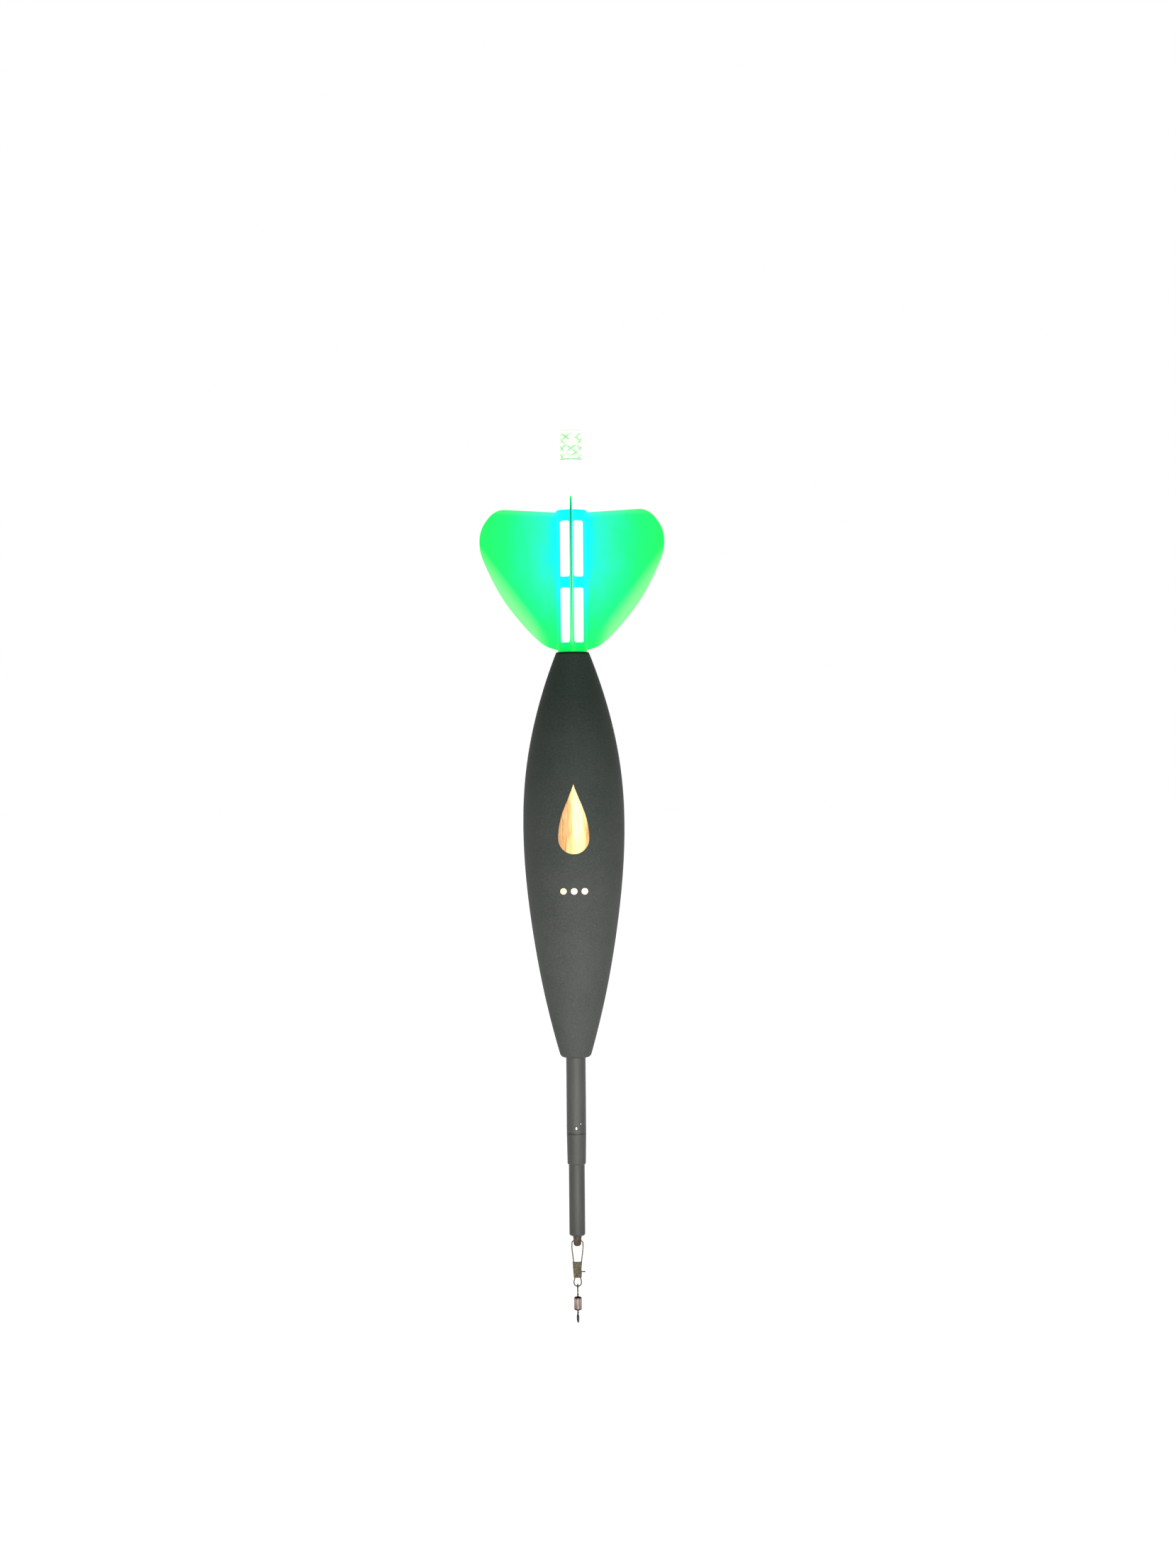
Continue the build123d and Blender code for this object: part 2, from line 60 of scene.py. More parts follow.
def newFinish(name):  # an empty material, its tree, its shader and a table of texture coordinates
    finish = bpy.data.materials.new(name)
    finish.use_nodes = True
    tree = finish.node_tree
    shader = next(n for n in tree.nodes if n.type == "BSDF_PRINCIPLED")
    coords = tree.nodes.new("ShaderNodeTexCoord")
    return finish, tree, shader, coords


def feed(tree, socket, value):  # joins a socket to the input, or sets the input to a plain value
    if isinstance(value, bpy.types.NodeSocket):
        tree.links.new(value, socket)
    else:
        socket.default_value = value


def put(tree, kind, settings=None, **inputs):  # adds a node; i0 and i1 are inputs by number, the rest by name
    node = tree.nodes.new("ShaderNode" + kind)
    for key, value in (settings or {}).items():
        setattr(node, key, value)
    for key, value in inputs.items():
        byNumber = key[0] == "i" and key[1:].isdigit()
        feed(tree, node.inputs[int(key[1:]) if byNumber else key.replace("_", " ")], value)
    return node


def stretched(tree, vector, scale, turn=(0, 0, 0)):  # a scale under 1 draws the grain out that way
    return put(tree, "Mapping", Vector=vector, Rotation=turn, Scale=scale).outputs[0]


def grain(tree, vector, size, detail=4.0, rough=0.6):  # noise whose lumps are about size metres across
    return put(tree, "TexNoise", Vector=vector, Scale=1 / size, Detail=detail, Roughness=rough).outputs["Fac"]


def ramp(tree, amount, stops):
    node = put(tree, "ValToRGB", Fac=amount)
    while len(node.color_ramp.elements) < len(stops):
        node.color_ramp.elements.new(0.5)
    for element, (place, colour) in zip(node.color_ramp.elements, stops):
        element.position = place
        element.color = (*colour, 1) if len(colour) == 3 else colour
    return node.outputs[0]


def spread(tree, amount, fromLow, fromHigh, toLow, toHigh):
    node = put(tree, "MapRange", Value=amount, From_Min=fromLow, From_Max=fromHigh, To_Min=toLow, To_Max=toHigh)
    return node.outputs[0]


def sums(tree, operation, first, second=0.0):
    return put(tree, "Math", {"operation": operation}, i0=first, i1=second).outputs[0]


def mixed(tree, amount, first, second, how="MIX"):
    node = put(tree, "Mix", {"data_type": "RGBA", "blend_type": how}, i0=amount)
    for number, value in ((6, first), (7, second)):  # the node's two colour inputs
        feed(tree, node.inputs[number], (*value, 1) if isinstance(value, tuple) else value)
    return node.outputs[2]


def bump(tree, shader, height, distance, strength=1.0, under=None):
    inputs = {"Height": height, "Distance": distance, "Strength": strength}
    if under is not None:
        inputs["Normal"] = under
    node = put(tree, "Bump", **inputs)
    tree.links.new(node.outputs[0], shader.inputs["Normal"])
    return node.outputs[0]


def axisDistance(tree, coords):  # the way out from the float's axis, how far, and the height
    flat = put(tree, "VectorMath", {"operation": "MULTIPLY"}, i0=coords.outputs["Object"], i1=(1, 1, 0))
    away = put(tree, "VectorMath", {"operation": "LENGTH"}, i0=flat.outputs[0]).outputs["Value"]
    height = put(tree, "SeparateXYZ", Vector=coords.outputs["Object"]).outputs["Z"]
    return flat.outputs[0], away, height


# A surface with grained colour, uneven roughness and fine bump, which the plainer pieces share.
def grained(name, look):
    finish, tree, shader, coords = newFinish(name)
    along = stretched(tree, coords.outputs["Object"], look.get("stretch", (1, 1, 1)))
    lumps = grain(tree, along, look["grain"], 5)
    fine = grain(tree, coords.outputs["Object"], look["fine"], 3)
    tree.links.new(ramp(tree, lumps, look["colours"]), shader.inputs["Base Color"])
    tree.links.new(spread(tree, fine, 0.3, 0.7, *look["rough"]), shader.inputs["Roughness"])
    first = bump(tree, shader, lumps, look["relief"])
    bump(tree, shader, fine, look["relief"] * 0.5, under=first)
    shader.inputs["Metallic"].default_value = look.get("metal", 0.0)
    shader.inputs["Specular IOR Level"].default_value = look.get("gloss", 0.5)
    shader.inputs["Coat Weight"].default_value = look.get("coat", 0.0)
    return finish


def dress(finish, *names):
    for name in names:
        slots = nodes[name].data.materials
        slots.clear()
        slots.append(finish)


# meshes

def keepMesh(name, work, body, stands, finish):
    mesh = bpy.data.meshes.new(name)
    bmesh.ops.recalc_face_normals(work, faces=work.faces)
    work.to_mesh(mesh)
    work.free()
    mesh.transform(Matrix.Scale(mm, 4))
    return keepPiece(name, mesh, body, stands, finish)


def keepPiece(name, mesh, body, stands, finish):
    mesh.materials.clear()
    mesh.materials.append(finish)
    mesh.polygons.foreach_set("use_smooth", [True] * len(mesh.polygons))
    piece = bpy.data.objects.new(name, mesh)
    bpy.context.scene.collection.objects.link(piece)
    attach(piece, body)
    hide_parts(stands)
    return piece


def spin(work, profile, around, shape=None):  # turns (radius, height) points round the axis and caps both ends
    rings = []
    for radius, height in profile:
        ring = []
        for step in range(around):
            angle = 2 * math.pi * step / around
            reach = shape(angle, radius, height) if shape else radius
            ring.append(work.verts.new((reach * math.cos(angle), reach * math.sin(angle), height)))
        rings.append(ring)
    for low, high in zip(rings, rings[1:]):
        for step in range(around):
            other = (step + 1) % around
            work.faces.new((low[step], low[other], high[other], high[step]))
    work.faces.new(rings[0])
    work.faces.new(rings[-1])


def nodeSpan(name):  # lowest and highest corner in millimetres
    low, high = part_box(name)
    return low / mm, high / mm


# foam body: matte sprayed foam, with painted light making it paler towards the foot
foamLook = {"dark": (0.0095, 0.0165, 0.0115), "light": (0.0145, 0.0215, 0.0165), "worn": (0.036, 0.040, 0.037),
            "topEdge": (0.004, 0.006, 0.004), "topEdgeHeights": (-0.0007, -0.0004),  # a black line round the top, partly the bare rim and partly painted shade under the tail's collar
            "paler": (2.75, 2.1, 2.45), "palerHeights": (-0.010, -0.075),  # painted light from below, paler towards the foot
            "cell": 0.00042, "cloud": 0.014, "pit": 0.00009, "rough": (0.55, 0.70), "gloss": 0.13}


def foamPaint(look):
    finish, tree, shader, coords = newFinish("foamPaint")
    place = coords.outputs["Object"]
    clouds = grain(tree, place, look["cloud"], 6, 0.55)
    speck = grain(tree, place, look["cell"], 3, 0.7)
    cells = put(tree, "TexVoronoi", Vector=place, Scale=1 / look["cell"]).outputs["Distance"]
    paint = ramp(tree, clouds, [(0.3, look["dark"]), (0.7, look["light"])])
    speckled = mixed(tree, spread(tree, speck, 0.35, 0.7, 0.0, 0.4), paint, look["worn"])
    height = axisDistance(tree, coords)[2]
    # painted light: the lower body paler, as if lit from the floor below
    floorLightMask = spread(tree, height, *look["palerHeights"], 0.0, 1.0)
    pale = mixed(tree, 1.0, speckled, look["paler"], "MULTIPLY")
    floorLitPaint = mixed(tree, floorLightMask, speckled, pale)
    # partly painted shade: a black line round the top rim, under the tail's collar
    rimmed = spread(tree, height, *look["topEdgeHeights"], 0.0, 1.0)
    tree.links.new(mixed(tree, rimmed, floorLitPaint, look["topEdge"]), shader.inputs["Base Color"])
    tree.links.new(spread(tree, speck, 0.3, 0.7, *look["rough"]), shader.inputs["Roughness"])
    first = bump(tree, shader, cells, look["pit"], 0.5)
    bump(tree, shader, speck, look["pit"], 0.6, under=first)
    shader.inputs["Specular IOR Level"].default_value = look["gloss"]
    return finish


dress(foamPaint(foamLook), "foam_body")
print("foam body painted")

# foil print: gold with a slanting brushed grain
foilLook = {"stops": [(0.34, (0.40, 0.20, 0.075)), (0.5, (0.62, 0.34, 0.14)), (0.66, (0.86, 0.55, 0.26)),
                      (0.9, (1.0, 0.82, 0.55))],
            "slant": 0.62, "grain": 0.0011, "scratch": 0.00005, "rough": (0.24, 0.46), "metal": 0.9, "pipLift": 0.30}


def goldFoil(name, look, lift):  # lift moves the whole print towards its paler golds
    finish, tree, shader, coords = newFinish(name)
    slanted = stretched(tree, coords.outputs["Object"], (1, 1, 0.10), (0, look["slant"], 0))
    bands = grain(tree, slanted, look["grain"] * 2.4, 5, 0.7)
    hairs = grain(tree, slanted, look["grain"] * 0.35, 3, 0.6)
    both = sums(tree, "ADD", sums(tree, "MULTIPLY", bands, 0.7), sums(tree, "MULTIPLY", hairs, 0.3))
    lifted = sums(tree, "ADD", both, lift)
    tree.links.new(ramp(tree, lifted, look["stops"]), shader.inputs["Base Color"])
    tree.links.new(spread(tree, hairs, 0.3, 0.7, *look["rough"]), shader.inputs["Roughness"])
    bump(tree, shader, hairs, look["scratch"], 0.5)
    shader.inputs["Metallic"].default_value = look["metal"]
    return finish


dress(goldFoil("goldFoil", foilLook, 0.0), "drop_mark")
dress(goldFoil("paleFoil", foilLook, foilLook["pipLift"]), "size_pips")
print("foil print done")

# finned tail: fluorescent plastic, with the stick's light through it painted as emission out to its edges
tailLook = {"byDistance": [(0.004, (0.0, 1.0, 0.92)), (0.0056, (0.006, 1.0, 0.75)), (0.008, (0.02, 1.0, 0.57)),
                           (0.012, (0.02, 1.0, 0.40)), (0.016, (0.012, 1.0, 0.26)), (0.020, (0.012, 1.0, 0.165)),
                           (0.027, (0.014, 1.0, 0.105))],  # metres from the lamp
            "ringHeights": (-0.001, 0.040),
            "rings": [(0.05, (0.0, 0.74, 0.09)), (0.09, (0.0, 1.0, 0.16)), (0.30, (0.0, 1.0, 0.55)),
                      (0.44, (0.0, 1.0, 1.0))],  # up the collar and cage, as shares of ringHeights
            "margin": (0.25, 1.0, 0.29), "edge": (0.0, 0.26, 0.23), "shade": (0.0, 0.05, 0.02), "shadeShare": 0.9,
            "lampHeight": 0.0248, "reach": 0.04, "cloud": 0.005, "streak": 0.0065, "glow": 1.0,
            "edgeRise": 1.17, "edgeStart": 0.0079, "edgeWidth": 0.0048}  # the line of the fins' lower margin, painted with a paler glow


def glowingTail(look):
    finish, tree, shader, coords = newFinish("glowingTail")
    flat, away, height = axisDistance(tree, coords)
    outward = put(tree, "VectorMath", {"operation": "NORMALIZE"}, i0=flat).outputs[0]
    dot = put(tree, "VectorMath", {"operation": "DOT_PRODUCT"}, i0=outward, i1=coords.outputs["Normal"])
    facing = dot.outputs["Value"]
    below = spread(tree, height, look["lampHeight"], look["lampHeight"] - look["reach"], 0.0, look["reach"])
    squares = sums(tree, "ADD", sums(tree, "MULTIPLY", away, away), sums(tree, "MULTIPLY", below, below))
    clouds = grain(tree, coords.outputs["Object"], look["cloud"], 5, 0.65)
    streaks = sums(tree, "MULTIPLY", sums(tree, "SUBTRACT", clouds, 0.5), look["streak"])
    lampDistance = sums(tree, "ADD", sums(tree, "SQRT", squares), streaks)
    first, last = look["byDistance"][0][0], look["byDistance"][-1][0]
    steps = [((distance - first) / (last - first), colour) for distance, colour in look["byDistance"]]
    blades = ramp(tree, spread(tree, lampDistance, first, last, 0.0, 1.0), steps)
    # painted glow: a paler margin along the fins' lower and top edges
    edgeLine = sums(tree, "SUBTRACT", height, sums(tree, "MULTIPLY", away, look["edgeRise"]))
    nearEdge = spread(tree, sums(tree, "ADD", edgeLine, look["edgeStart"]), 0.0, look["edgeWidth"], 1.0, 0.0)
    lowEdge = sums(tree, "MULTIPLY", nearEdge, spread(tree, away, 0.0065, 0.011, 0.0, 0.9))
    topLine = sums(tree, "SUBTRACT", height, sums(tree, "MULTIPLY", away, 0.1))
    topEdge = spread(tree, topLine, 0.0343, 0.0357, 0.0, 0.25)
    blades = mixed(tree, sums(tree, "MAXIMUM", lowEdge, topEdge), blades, look["margin"])
    outwardFace = spread(tree, facing, 0.45, 0.85, 0.0, 0.85)  # the thin faces that look away from the axis, painted with a darker glow
    rim = sums(tree, "MULTIPLY", outwardFace, spread(tree, away, 0.0046, 0.0056, 0.0, 1.0))
    blades = mixed(tree, rim, blades, look["edge"])
    rings = ramp(tree, spread(tree, height, *look["ringHeights"], 0.0, 1.0), look["rings"])
    glow = mixed(tree, spread(tree, away, 0.0043, 0.0050, 0.0, 1.0), rings, blades)
    fine = grain(tree, coords.outputs["Object"], 0.0006, 3)
    tree.links.new(glow, shader.inputs["Emission Color"])
    shader.inputs["Emission Strength"].default_value = look["glow"]
    tree.links.new(mixed(tree, look["shadeShare"], glow, look["shade"]), shader.inputs["Base Color"])
    tree.links.new(spread(tree, fine, 0.3, 0.7, 0.28, 0.42), shader.inputs["Roughness"])
    bump(tree, shader, fine, 0.00002, 0.5)
    shader.inputs["Specular IOR Level"].default_value = 0.08
    return finish


dress(glowingTail(tailLook), "fin_tail")
print("tail lit")

# light stick: milky sleeve, brightest at the lamp
stickLook = {"hot": (1.0, 1.0, 1.0), "cool": (0.62, 0.93, 1.0), "glow": 1.35}


def milkySleeve(look):
    finish, tree, shader, coords = newFinish("milkySleeve")
    height = axisDistance(tree, coords)[2]
    cloud = grain(tree, coords.outputs["Object"], 0.004, 3)
    lit = sums(tree, "ADD", height, sums(tree, "MULTIPLY", sums(tree, "SUBTRACT", cloud, 0.5), 0.004))
    colour = ramp(tree, spread(tree, lit, 0.0, 0.024, 0.0, 1.0), [(0.05, look["cool"]), (0.75, look["hot"])])
    fine = grain(tree, coords.outputs["Object"], 0.0005, 3)
    tree.links.new(colour, shader.inputs["Emission Color"])
    tree.links.new(spread(tree, lit, 0.0, 0.0236, 0.75, look["glow"]), shader.inputs["Emission Strength"])
    tree.links.new(mixed(tree, 0.5, colour, (0.85, 0.9, 0.88)), shader.inputs["Base Color"])
    tree.links.new(spread(tree, fine, 0.3, 0.7, 0.2, 0.34), shader.inputs["Roughness"])
    bump(tree, shader, fine, 0.00001, 0.4)
    return finish


dress(milkySleeve(stickLook), "stick_sleeve")

# tip grip: knurled end of the light stick
tipLook = {"starts": 6, "pitch": 2.0, "depth": 0.24, "width": 0.19, "around": 208, "rows": 84, "foot": 0.3,
           "rounding": 0.9, "paleRidge": (0.85, 1.0, 0.74), "ridge": (0.72, 0.95, 0.64),
           "groove": (0.10, 0.38, 0.11), "footRing": (0.08, 0.36, 0.12), "glow": 0.55}


def tipPlastic(look, radius):
    finish, tree, shader, coords = newFinish("tipPlastic")
    _, away, height = axisDistance(tree, coords)
    low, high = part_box("tip_grip")
    sunk = spread(tree, away, (radius - look["depth"]) * mm, (radius - 0.02) * mm, 0.0, 1.0)
    crown = spread(tree, height, high.z - 0.0011, high.z - 0.0006, 0.0, 1.0)
    foot = spread(tree, height, low.z + look["foot"] * mm, low.z + 1.4 * look["foot"] * mm, 0.0, 1.0)
    cloud = grain(tree, coords.outputs["Object"], 0.0018, 4)
    ridge = ramp(tree, cloud, [(0.3, look["ridge"]), (0.75, look["paleRidge"])])
    worn = spread(tree, cloud, 0.45, 0.62, 0.0, 0.7)  # parts of the knurl are nearly worn away
    raised = sums(tree, "MAXIMUM", sums(tree, "MAXIMUM", sunk, crown), worn)
    colour = mixed(tree, foot, look["footRing"], mixed(tree, raised, look["groove"], ridge))
    fine = grain(tree, coords.outputs["Object"], 0.0003, 3)
    tree.links.new(colour, shader.inputs["Base Color"])
    tree.links.new(colour, shader.inputs["Emission Color"])
    tree.links.new(spread(tree, fine, 0.3, 0.7, 0.3, 0.45), shader.inputs["Roughness"])
    lit = spread(tree, height, low.z, high.z, look["glow"] * 1.25, look["glow"] * 0.85)
    tree.links.new(lit, shader.inputs["Emission Strength"])
    bump(tree, shader, fine, 0.00001, 0.5)
    return finish


def tipGrip(look):
    low, high = nodeSpan("tip_grip")
    radius, rounding = high.x, look["rounding"]
    sideTop = high.z - rounding

    def knurl(angle, reach, height):
        if reach < radius - 0.25:
            return reach
        cut = 0.0
        for way in (-1, 1):
            turns = look["starts"] * angle / (2 * math.pi) + way * (height - low.z) / look["pitch"]
            off = abs(turns - round(turns)) / look["width"]
            cut = max(cut, math.exp(-off * off))
        fadeLow = min(1.0, max(0.0, (height - low.z) / 0.5 - 0.3))
        fadeHigh = min(1.0, max(0.0, (high.z - 0.35 - height) / 0.5))
        return reach - look["depth"] * cut * fadeLow * fadeHigh

    chamfer = 0.12
    sideFoot = low.z + chamfer
    profile = [(radius - 0.6, low.z), (radius - chamfer, low.z), (radius, sideFoot)]
    for row in range(1, look["rows"] + 1):
        profile.append((radius, sideFoot + (sideTop - sideFoot) * row / look["rows"]))
    for step in range(1, 15):
        lean = math.pi / 2 * step / 14
        profile.append((radius - rounding + rounding * math.cos(lean), sideTop + rounding * math.sin(lean)))
    profile += [(1.4, high.z), (0.7, high.z - 0.03), (0.2, high.z - 0.04)]  # a shallow gate dimple
    work = bmesh.new()
    spin(work, profile, look["around"], knurl)
    return keepMesh("tipGrip", work, "light_stick", "tip_grip", tipPlastic(look, radius))


tipGrip(tipLook)
print("light stick done")

# stem: satin coating over tube, ferrule and rod
stemLook = {"colours": [(0.3, (0.026, 0.027, 0.025)), (0.7, (0.044, 0.045, 0.042))], "grain": 0.0016,
            "stretch": (1, 1, 0.12), "fine": 0.00028, "rough": (0.42, 0.60), "relief": 0.000012, "gloss": 0.45}
rodLook = dict(stemLook, colours=[(0.3, (0.025, 0.025, 0.023)), (0.7, (0.042, 0.042, 0.038))], rough=(0.40, 0.56))
dress(grained("stemCoating", stemLook), "centre_tube", "stem_ferrule")
dress(grained("rodCoating", rodLook), "lower_rod")

# glue: a ring of set glue in the groove, with drops that ran out of it
glueLook = {"ringThick": 0.15, "wave": 0.04, "dark": (0.018, 0.018, 0.015), "paintedHighlight": (0.9, 0.9, 0.88),
            "drops": [(-90.0, 1.6, 0.38), (-64.0, 2.7, 0.28), (-70.0, 1.3, 0.17), (-48.0, 1.2, 0.15),
                      (64.0, 1.4, 0.3), (165.0, 1.8, 0.25)],  # each: heading in degrees, height above the ring, size
            "dropShape": (0.6, 0.85, 1.35), "sag": 0.35, "sunk": 0.1}


def clearGlue(look, surface):  # dark in the groove, with a painted white highlight where a drop stands out
    finish, tree, shader, coords = newFinish("clearGlue")
    away = axisDistance(tree, coords)[1]
    fine = grain(tree, coords.outputs["Object"], 0.0002, 3)
    # painted highlight: drops turn white and glossier where they stand out
    paintedHighlight = spread(tree, away, (surface + 0.10) * mm, (surface + 0.17) * mm, 0.0, 1.0)
    tree.links.new(mixed(tree, paintedHighlight, look["dark"], look["paintedHighlight"]), shader.inputs["Base Color"])
    ringRough = spread(tree, fine, 0.3, 0.7, 0.36, 0.5)
    glossy = sums(tree, "MULTIPLY", paintedHighlight, 0.3)
    tree.links.new(sums(tree, "SUBTRACT", ringRough, glossy), shader.inputs["Roughness"])
    bump(tree, shader, fine, 0.000008, 0.5)
    return finish


def glueBeads(look):
    low, high = nodeSpan("glue_ring")
    middle, radius = (low.z + high.z) / 2, high.x - 0.06
    work = bmesh.new()
    around, sides = 96, 12
    rings = []
    for step in range(around):
        angle = 2 * math.pi * step / around
        thick = look["ringThick"] + look["wave"] * math.sin(3 * angle + 0.6) * math.cos(5 * angle)
        ring = []
        for side in range(sides):
            turn = 2 * math.pi * side / sides
            reach = radius + 0.6 * thick * math.cos(turn)
            level = middle + thick * math.sin(turn)
            ring.append(work.verts.new((reach * math.cos(angle), reach * math.sin(angle), level)))
        rings.append(ring)
    for step in range(around):
        for side in range(sides):
            first, second = rings[step], rings[(step + 1) % around]
            other = (side + 1) % sides
            work.faces.new((first[side], second[side], second[other], first[other]))
    surface = high.x + 0.05
    depth, width, length = look["dropShape"]
    for heading, above, size in look["drops"]:
        drop = bmesh.ops.create_icosphere(work, subdivisions=3, radius=1.0)["verts"]
        for vert in drop:
            sag = 1.0 + look["sag"] * max(0.0, -vert.co.z)  # heavier below
            x, y, z = vert.co
            vert.co = Vector((x * depth * size, y * width * size * sag, z * length * size * sag))
        turned = Matrix.Rotation(math.radians(heading), 4, "Z")
        outwards = Matrix.Translation((surface - look["sunk"] * size, 0, middle + above))
        bmesh.ops.transform(work, matrix=turned @ outwards, verts=drop)
    return keepMesh("glueBeads", work, "float", "glue_ring", clearGlue(look, surface))


glueBeads(glueLook)
print("stem and glue done")

# line peg, clasp and wires: browned brass and drawn wire
pegLook = {"colours": [(0.25, (0.034, 0.026, 0.017)), (0.5, (0.066, 0.052, 0.036)), (0.75, (0.12, 0.097, 0.070))],
           "grain": 0.0007, "stretch": (1, 1, 0.5), "fine": 0.00016, "rough": (0.34, 0.55), "relief": 0.00002,
           "metal": 0.85}
claspLook = {"colours": [(0.25, (0.034, 0.029, 0.018)), (0.5, (0.075, 0.064, 0.042)), (0.75, (0.15, 0.13, 0.09))],
             "grain": 0.0005, "fine": 0.00013, "rough": (0.34, 0.58), "relief": 0.00003, "metal": 0.9}
wireLook = {"colours": [(0.3, (0.055, 0.045, 0.032)), (0.7, (0.15, 0.125, 0.095))], "grain": 0.0004,
            "stretch": (1, 1, 0.3), "fine": 0.0001, "rough": (0.25, 0.42), "relief": 0.00001, "metal": 1.0}
dress(grained("brownedPeg", pegLook), "line_peg")
dress(grained("claspBronze", claspLook), "snap_clasp")
dress(grained("drawnWire", wireLook), "snap_frame_wire", "snap_gate_wire")

# swivel: pinkish nickel barrel, and eyes whose wire is wound into a shank
barrelLook = {"colours": [(0.2, (0.12, 0.09, 0.078)), (0.5, (0.27, 0.21, 0.185)), (0.75, (0.62, 0.52, 0.48))],
              "grain": 0.0006, "stretch": (1, 1, 0.22), "fine": 0.00012, "rough": (0.2, 0.38), "relief": 0.00001,
              "metal": 1.0}
barrelEnds = {"shade": (0.16, 0.13, 0.12), "endShadeFrom": 1.05, "endShadeTo": 1.55}  # distances from its middle
eyeLook = {"wire": 0.2, "shankWire": 0.12, "lay": 0.12, "turns": 1.25, "ring": 1.05, "ringGap": 0.12, "gapAngle": 18,
           "neck": 0.95, "barrelWall": 0.46, "headRadius": 0.66, "headLength": 0.7, "headChamfer": 0.12, "turned": 9.0}


def barrelNickel(look, ends):  # grained nickel, with painted shade on the domed ends
    finish = grained("swivelNickel", look)
    tree = finish.node_tree
    shader = next(n for n in tree.nodes if n.type == "BSDF_PRINCIPLED")
    coords = next(n for n in tree.nodes if n.type == "TEX_COORD")
    low, high = nodeSpan("swivel_barrel")
    height = axisDistance(tree, coords)[2]
    fromMiddle = sums(tree, "ABSOLUTE", sums(tree, "SUBTRACT", height, (low.z + high.z) / 2 * mm))
    # painted shade: the domed ends darkened by the shade colour
    endShadeMask = spread(tree, fromMiddle, ends["endShadeFrom"] * mm, ends["endShadeTo"] * mm, 0.0, 1.0)
    bright = shader.inputs["Base Color"].links[0].from_socket
    shadedEnd = mixed(tree, 1.0, bright, ends["shade"], "MULTIPLY")
    tree.links.new(mixed(tree, endShadeMask, bright, shadedEnd), shader.inputs["Base Color"])
    return finish


dress(barrelNickel(barrelLook, barrelEnds), "swivel_barrel")


def shankStrand(look, inside, shankStart, side):  # points from the head out to the ring, side +1 or -1
    points = []
    for step in range(11):
        part = step / 10
        swing = 2 * math.pi * look["turns"] * (1 - part) + side * math.pi / 2
        level = inside + (shankStart - inside) * part
        points.append((look["lay"] * math.cos(swing), look["lay"] * math.sin(swing), level, look["shankWire"]))
    return points


def eyeRing(look, centre, inward):  # points round the ring, which stands in the plane across the x axis
    points = []
    for step in range(1, 24):
        bend = math.radians(look["gapAngle"] + (360 - 2 * look["gapAngle"]) * step / 24)
        fullness = min(1.0, min(step, 24 - step) / 3)  # the wire thins where it enters the shank
        thick = look["shankWire"] + (look["wire"] - look["shankWire"]) * fullness
        points.append((0.0, look["ring"] * math.sin(bend), centre + inward * look["ring"] * math.cos(bend), thick))
    return points


def eyeWire(name, node, body, inward, turn, finish, look):  # inward is +1 where the barrel is above the ring
    low, high = nodeSpan(node)
    farSide = low.z if inward > 0 else high.z
    centre = farSide + inward * (look["ring"] + look["wire"])
    inside = centre + inward * (look["ring"] + look["neck"] + look["barrelWall"])
    shankStart = centre + inward * (look["ring"] + look["ringGap"])
    route = shankStrand(look, inside, shankStart, 1) + eyeRing(look, centre, inward)
    route += reversed(shankStrand(look, inside, shankStart, -1))
    curve = bpy.data.curves.new(name + "Route", "CURVE")
    curve.dimensions = "3D"
    curve.bevel_depth = 1.0
    curve.bevel_resolution = 5
    curve.use_fill_caps = True
    spline = curve.splines.new("NURBS")
    spline.points.add(len(route) - 1)
    for point, (x, y, z, thick) in zip(spline.points, route):
        point.co = (x, y, z, 1)
        point.radius = thick
    spline.order_u = 3
    spline.use_endpoint_u = True
    spline.resolution_u = 5
    holder = bpy.data.objects.new(name + "Route", curve)
    bpy.context.scene.collection.objects.link(holder)
    bpy.context.view_layer.update()
    wireMesh = bpy.data.meshes.new_from_object(holder.evaluated_get(bpy.context.evaluated_depsgraph_get()))
    bpy.data.objects.remove(holder)
    work = bmesh.new()
    work.from_mesh(wireMesh)
    lowEnd, highEnd = sorted((inside, inside + inward * look["headLength"]))
    reach, chamfer = look["headRadius"], look["headChamfer"]
    lowRim = [(reach - chamfer, lowEnd), (reach, lowEnd + chamfer)]
    highRim = [(reach, highEnd - chamfer), (reach - chamfer, highEnd)]
    spin(work, lowRim + highRim, 40)
    bmesh.ops.transform(work, matrix=Matrix.Rotation(math.radians(turn), 4, "Z"), verts=work.verts)
    return keepMesh(name, work, body, node, finish)


darkNickel = [(0.3, (0.045, 0.037, 0.03)), (0.7, (0.13, 0.11, 0.09))]
paleNickel = [(0.3, (0.08, 0.066, 0.05)), (0.7, (0.22, 0.185, 0.145))]  # a paler copy, used for the upper eye
eyeNickel = grained("eyeNickel", dict(barrelLook, colours=darkNickel, grain=0.0004))
paleEyeNickel = grained("paleEyeNickel", dict(barrelLook, colours=paleNickel, grain=0.0004))
eyeWire("upperEye", "swivel_upper_eye", "upper_eye", -1, 0.0, paleEyeNickel, eyeLook)
eyeWire("lowerEye", "swivel_lower_eye", "lower_eye", 1, eyeLook["turned"], eyeNickel, eyeLook)
print("snap and swivel done")

